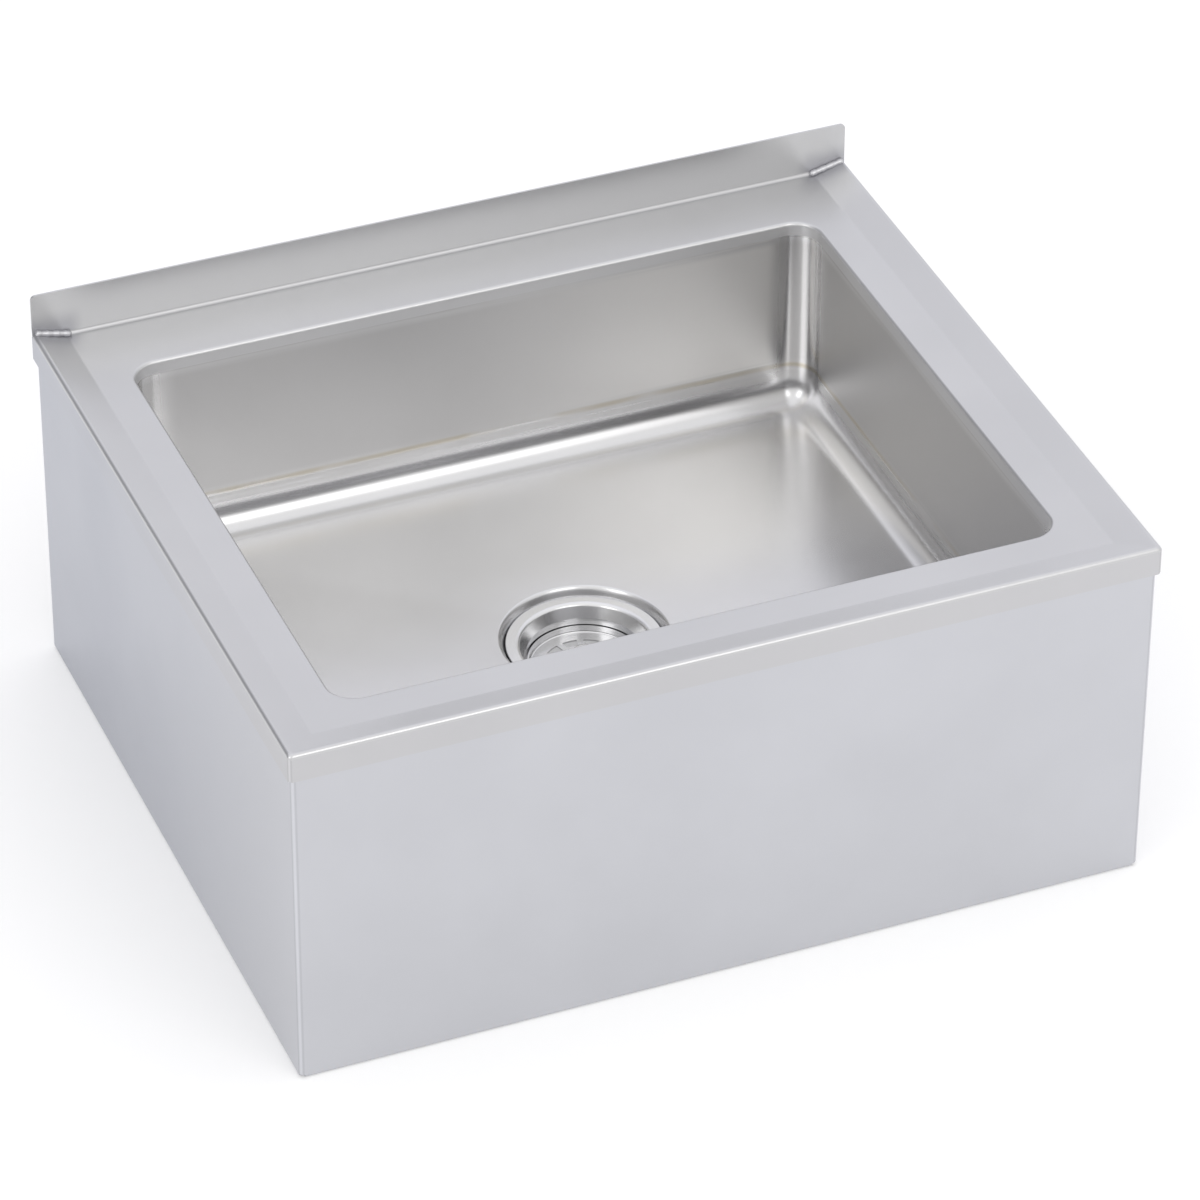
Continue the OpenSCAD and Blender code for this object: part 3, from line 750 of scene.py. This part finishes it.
# ---------------------------------------------------------------- dressing the pieces
def on_lip(x, y, z):
    return in_opening(x, y, SHEET + 0.3) and z < DECK_Z - 0.9


def on_flange(x, y, z):
    at_outline = abs(x) > HALF_W - RIM_R - 1 or y < -HALF_D + RIM_R + 1
    return at_outline and z < DECK_Z + RIM_Z + NEAR


def on_splash_foot(x, y, z):
    return y > SPLASH_FACE - 3 and z < DECK_Z + 3 and abs(x) < HALF_W - FOLD_U + NEAR


def add_piece(piece, material, slot, *stands_for, also=()):
    """Rides a piece on the sink and dresses it. Faces that pass a test take another material."""
    piece.data.materials.clear()
    piece.data.materials.append(material)
    for number, (other, where) in enumerate(also, 1):
        piece.data.materials.append(other)
        for face in piece.data.polygons:
            if all(where(*(piece.data.vertices[corner].co / MM)) for corner in face.vertices):
                face.material_index = number
    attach(piece, "sink")
    if stands_for:
        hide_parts(*stands_for)


def paint_node(name, material):
    """Dresses a piece that comes from the CAD as it is."""
    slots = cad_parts[name].data.materials
    slots.clear()
    slots.append(material)


# ---------------------------------------------------------------- floor, world and lamps
def add_floor():
    """A plain pale floor that shows white and keeps the sink's shadow."""
    bpy.ops.object.select_all(action="DESELECT")
    bpy.ops.mesh.primitive_circle_add(vertices=96, radius=14, fill_type="NGON", location=(0, 0, -0.3 * MM))
    bpy.ops.object.transform_apply(location=True, rotation=False, scale=False)
    floor = bpy.context.object
    floor.name = "studio_floor"
    material, tree, shader = new_material("white_floor")
    shader.inputs["Base Color"].default_value = (0.74, 0.74, 0.74, 1)
    shader.inputs["Roughness"].default_value = 0.9
    shader.inputs["Specular IOR Level"].default_value = 0
    rays = tree.nodes.new("ShaderNodeLightPath").outputs
    seen = maths(tree, "MAXIMUM", rays["Is Camera Ray"], rays["Is Glossy Ray"])
    seen = maths(tree, "MAXIMUM", seen, rays["Is Transmission Ray"])
    shader.inputs["Emission Color"].default_value = (1, 1, 1, 1)
    tree.links.new(maths(tree, "MULTIPLY", seen, 0.25), shader.inputs["Emission Strength"])
    floor.data.materials.append(material)


def add_world():
    """A white studio: even at the back, brighter overhead and in front, darker behind on the left."""
    world = bpy.data.worlds.new("soft_studio")
    bpy.context.scene.world = world
    world.use_nodes = True
    tree = world.node_tree
    sky = tree.nodes["Background"]
    way = tree.nodes.new("ShaderNodeTexCoord").outputs["Generated"]
    axis = split_axes(tree, way)
    tone = ramp(tree, fade(tree, axis["Z"], -1, 1, kind="LINEAR"), [
        (0.0, 0.9), (0.5, 1.0), (0.79, 1.03), (0.9, 1.16), (1.0, 1.24)
    ])
    behind_left = vector_maths(tree, "DOT_PRODUCT", way, (-0.7, 0.714, 0))
    shade = fade(tree, behind_left, 0.46, 0.86, 1, 0.46)
    tinge = ramp(tree, fade(tree, axis["Y"], -1, 1, kind="LINEAR"), [
        (0.1, (1.04, 1.035, 1.025)), (0.45, (1.0, 1.0, 1.01)), (0.8, (1.0, 1.002, 1.055))
    ])
    shaded = vector_maths(tree, "MULTIPLY", tone, shade)
    tree.links.new(vector_maths(tree, "MULTIPLY", shaded, tinge), sky.inputs["Color"])
    sky.inputs["Strength"].default_value = 1


def add_lamp(name, place, aim, size, power):
    """A soft rectangular lamp, with its place, aim and size in metres."""
    data = bpy.data.lights.new(name, "AREA")
    data.shape = "RECTANGLE"
    data.size, data.size_y = size
    data.energy = power
    lamp = bpy.data.objects.new(name, data)
    bpy.context.scene.collection.objects.link(lamp)
    lamp.location = place
    lamp.rotation_euler = (Vector(aim) - Vector(place)).to_track_quat("-Z", "Y").to_euler()


# ---------------------------------------------------------------- build
bpy.context.scene.view_settings.view_transform = "Standard"
add_camera()
deck = make_deck()
pan, walls = make_bowl()

for make_group in (make_grain_group, make_corner_group, make_weld_shade_group, make_edge_group, make_weld_group):
    make_group()
finish = make_finishes()

add_piece(deck, finish["deck_steel"], "deck_steel", "deck", also=(
    (finish["lip_steel"], on_lip),
    (finish["flange_steel"], on_flange),
    (finish["foot_steel"], on_splash_foot),
))
for side in (-1, 1):
    add_piece(make_weld(side), finish["weld_steel"], "deck_steel")
add_piece(pan, finish["bowl_steel"], "bowl_steel", "bowl_pan")
add_piece(walls, finish["wall_steel"], "bowl_steel", "bowl_walls")
for finish_name, node_names in {
    "skirt_steel": ("skirt", "rear_tie"),
    "pad_rubber": ("sound_pad_left", "sound_pad_right"),
    "drain_steel": ("drain_body", "strainer_cup", "strainer_post", "strainer_knob"),
    "black_rubber": ("flange_gasket", "sealing_washer"),
    "fibre": ("friction_ring",),
    "nut_metal": ("locknut",),
}.items():
    for node_name in node_names:
        paint_node(node_name, finish[finish_name])

add_floor()
add_world()
add_lamp("left_softbox", (-2.25, -0.93, 1.96), (0, 0, 0.2), (1.1, 1.5), 8)
add_lamp("front_softbox", (0.36, -1.85, 1.72), (0, 0.1, 0.2), (1.2, 1.2), 6)
